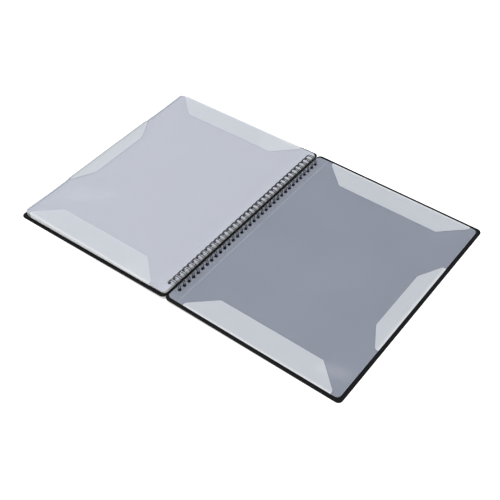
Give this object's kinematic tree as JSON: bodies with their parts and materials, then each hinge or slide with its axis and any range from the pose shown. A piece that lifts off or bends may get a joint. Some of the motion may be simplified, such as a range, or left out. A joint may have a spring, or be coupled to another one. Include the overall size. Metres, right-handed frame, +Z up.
{
  "type": "music folder",
  "caption": "Wire-bound music folder lying open: black plastic covers, a twin-loop wire, and frosted film sleeves with folded flaps that hold sheets of music.",
  "frame": {"origin": "on the table under the middle of the wire, midway between the front and back edges", "axes": "+X to the reader's right across the open folder, +Y along the wire away from the reader, +Z up"},
  "size_m": [0.4908, 0.32, 0.0179],
  "materials": {
    "cover_plastic": "fine-grained black polypropylene sheet",
    "coated_wire": "steel wire with a glossy black nylon coat",
    "frosted_film": "frosted translucent polypropylene film"
  },
  "bodies": {
    "wire": {"wire_binding": "coated_wire"},
    "front_cover": {"front_cover": "cover_plastic"},
    "left_sleeves": {"left_sleeves": "frosted_film"},
    "back_cover": {"back_cover": "cover_plastic"},
    "right_sleeve": {"right_sleeve": "frosted_film"}
  },
  "joints": [
    {"name": "front_cover_turn", "type": "hinge", "parent": "wire", "child": "front_cover", "pos_m": [0, 0, 0.00896], "axis": [0, 1, 0], "range_deg": [0, 180]},
    {"name": "left_sleeves_turn", "type": "hinge", "parent": "front_cover", "child": "left_sleeves", "pos_m": [0, 0, 0.00896], "axis": [0, 1, 0], "range_deg": [0, 180]},
    {"name": "back_cover_turn", "type": "hinge", "parent": "wire", "child": "back_cover", "pos_m": [0, 0, 0.00896], "axis": [0, -1, 0], "range_deg": [0, 180]},
    {"name": "right_sleeve_turn", "type": "hinge", "parent": "back_cover", "child": "right_sleeve", "pos_m": [0, 0, 0.00896], "axis": [0, -1, 0], "range_deg": [0, 180]}
  ]
}
